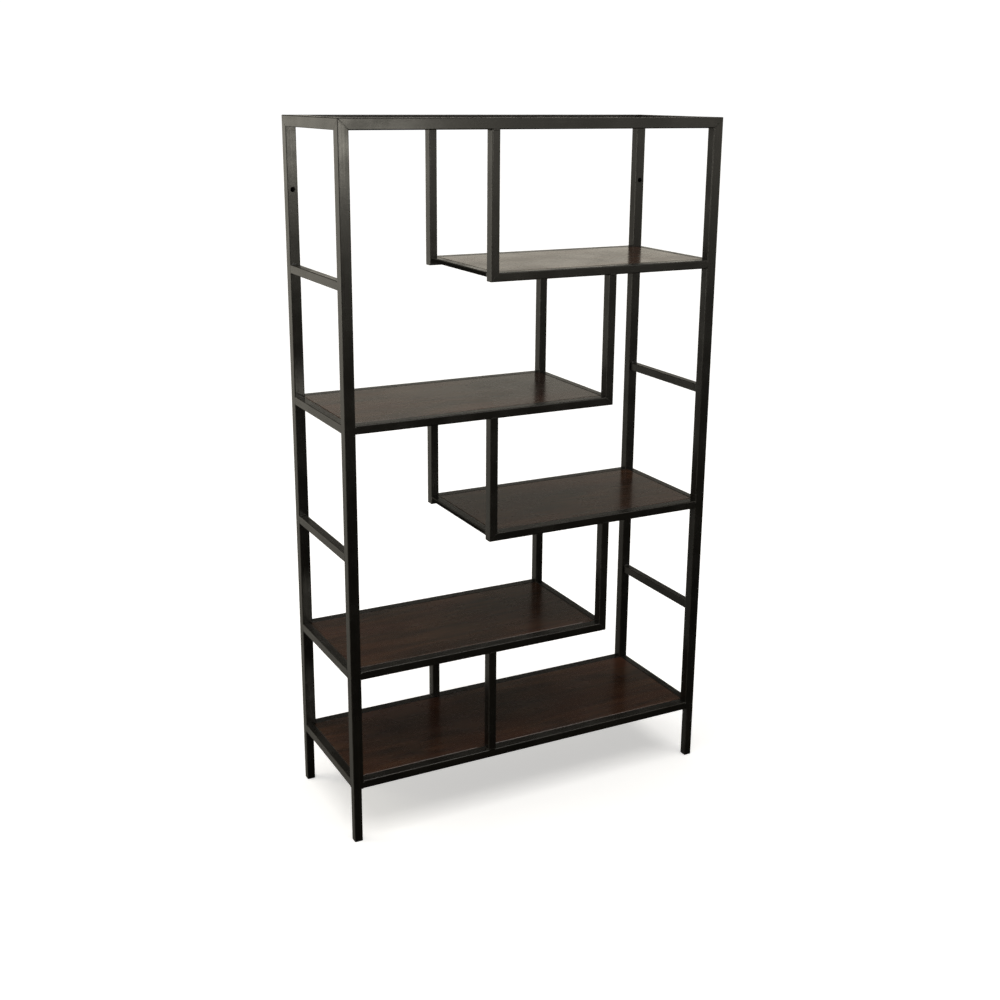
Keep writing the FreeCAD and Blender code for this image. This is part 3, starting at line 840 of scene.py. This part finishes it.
# Brightness of the room by direction: e to the power of -|height| / fade. The fade is longer on the
# window's side, so the faces turned that way are lighter all the way down, and a dark curtain hangs
# left of the window. What the camera itself sees is a plain pale backdrop.
def makeWorld():
    world = bpy.data.worlds.new("studio")
    world.use_nodes = True
    tree = world.node_tree
    tree.nodes.clear()
    direction = addNode(tree, "ShaderNodeTexCoord").outputs["Generated"]
    toX, toY, height = axisParts(tree, direction)
    toWindow = addNode(tree, "ShaderNodeVectorMath", {0: direction, 1: studio["windowWay"]},
                       operation="DOT_PRODUCT").outputs["Value"]
    below = remap(tree, toWindow, *studio["windowFadeSpread"],
                  studio["fallFade"], studio["windowFade"])
    windowLevel = studio["horizon"] * studio["windowShare"]
    level = remap(tree, toWindow, *studio["windowShareSpread"], studio["horizon"], windowLevel)
    isAbove = calc(tree, "GREATER_THAN", height, 0.0)
    fade = addNode(tree, "ShaderNodeMix", {0: isAbove, 2: below, 3: studio["riseFade"]}).outputs[0]
    away = calc(tree, "MULTIPLY", calc(tree, "ABSOLUTE", height), -1.0)
    fall = calc(tree, "EXPONENT", calc(tree, "DIVIDE", away, fade))
    leftward = calc(tree, "ARCTAN2", calc(tree, "MULTIPLY", toX, -1.0), toY)
    starts, full, thins, ends = (math.radians(angle) for angle in studio["curtain"])
    curtain = calc(tree, "MULTIPLY", remap(tree, leftward, starts, full),
                   remap(tree, leftward, thins, ends, 1.0, 0.0))
    bare = calc(tree, "MULTIPLY_ADD", curtain, -studio["curtainShare"], 1.0)
    level = calc(tree, "MULTIPLY", level, bare)
    strength = calc(tree, "MULTIPLY_ADD", fall, level, studio["roomLow"])
    room = addNode(tree, "ShaderNodeBackground", {"Strength": strength,
                                                  "Color": (*studio["roomColor"], 1.0)})
    backdrop = addNode(tree, "ShaderNodeBackground", {"Strength": studio["backdrop"],
                                                      "Color": (1.0, 1.0, 1.0, 1.0)})
    seen = addNode(tree, "ShaderNodeLightPath").outputs["Is Camera Ray"]
    shaders = {0: seen, 1: room.outputs[0], 2: backdrop.outputs[0]}
    mixed = addNode(tree, "ShaderNodeMixShader", shaders)
    addNode(tree, "ShaderNodeOutputWorld", {"Surface": mixed.outputs[0]})
    bpy.context.scene.world = world


lamps = {
    # name: kind, place, where it points, strength, colour, size (metres, or degrees for the SUN)
    "ceiling": ("SUN", (-0.3, -0.25, 3.0), (0.0, 0.0, 0.0), 2.1, (1.0, 0.985, 0.965), (62.0,)),
    "window": ("AREA", (-3.2, 1.7, 1.7), (0.0, 0.0, 1.0), 46.0, (1.0, 0.95, 0.83), (2.0, 2.4)),
    "glow": ("AREA", (0.55, -3.0, 1.6), (-0.4, -0.2, 1.6), 6.6, (1.0, 0.95, 0.82), (0.55, 0.42)),
    "edgeLight": ("AREA", (1.6, -2.1, 3.3), (0.0, 0.0, 0.7), 13.0, (1.0, 0.97, 0.92), (1.6, 0.9)),
}


def makeLamps():
    for name, (kind, place, target, strength, color, size) in lamps.items():
        light = bpy.data.lights.new(name, kind)
        light.energy = strength
        light.color = color
        if kind == "SUN":
            light.angle = math.radians(size[0])
        else:
            light.shape = "RECTANGLE"
            light.size, light.size_y = size
        lamp = bpy.data.objects.new(name, light)
        lamp.location = place
        lamp.rotation_euler = (Vector(target) - Vector(place)).to_track_quat("-Z", "Y").to_euler()
        lamp.visible_camera = False
        bpy.context.scene.collection.objects.link(lamp)


viewpoint = {
    "place": (-1.4464, -2.738, 1.6995),
    "yaw": -27.653,         # degrees, below 0 for a turn to the right
    "pitch": -15.78,
    "roll": 0.452,
    "sensor": 36.0,
    "lens": 47.09,
    "shift": (0.0, -0.037),
}


def makeCamera():
    data = bpy.data.cameras.new("camera")
    data.sensor_width = viewpoint["sensor"]
    data.lens = viewpoint["lens"]
    data.shift_x, data.shift_y = viewpoint["shift"]
    yaw, pitch, roll = (math.radians(viewpoint[key]) for key in ("yaw", "pitch", "roll"))
    ahead = Vector((-math.sin(yaw) * math.cos(pitch), math.cos(yaw) * math.cos(pitch),
                    math.sin(pitch)))
    level = Vector((math.cos(yaw), math.sin(yaw), 0.0))
    above = level.cross(ahead)
    right = math.cos(roll) * level + math.sin(roll) * above
    top = math.cos(roll) * above - math.sin(roll) * level
    camera = bpy.data.objects.new("camera", data)
    turn = Matrix((right, top, -ahead)).transposed().to_4x4()
    camera.matrix_world = Matrix.Translation(viewpoint["place"]) @ turn
    bpy.context.scene.collection.objects.link(camera)
    bpy.context.scene.camera = camera


makeFloor()
makeWorld()
makeLamps()
makeCamera()
bpy.context.scene.view_settings.view_transform = "Standard"     # so that white stays white
print("stage, light and camera set")
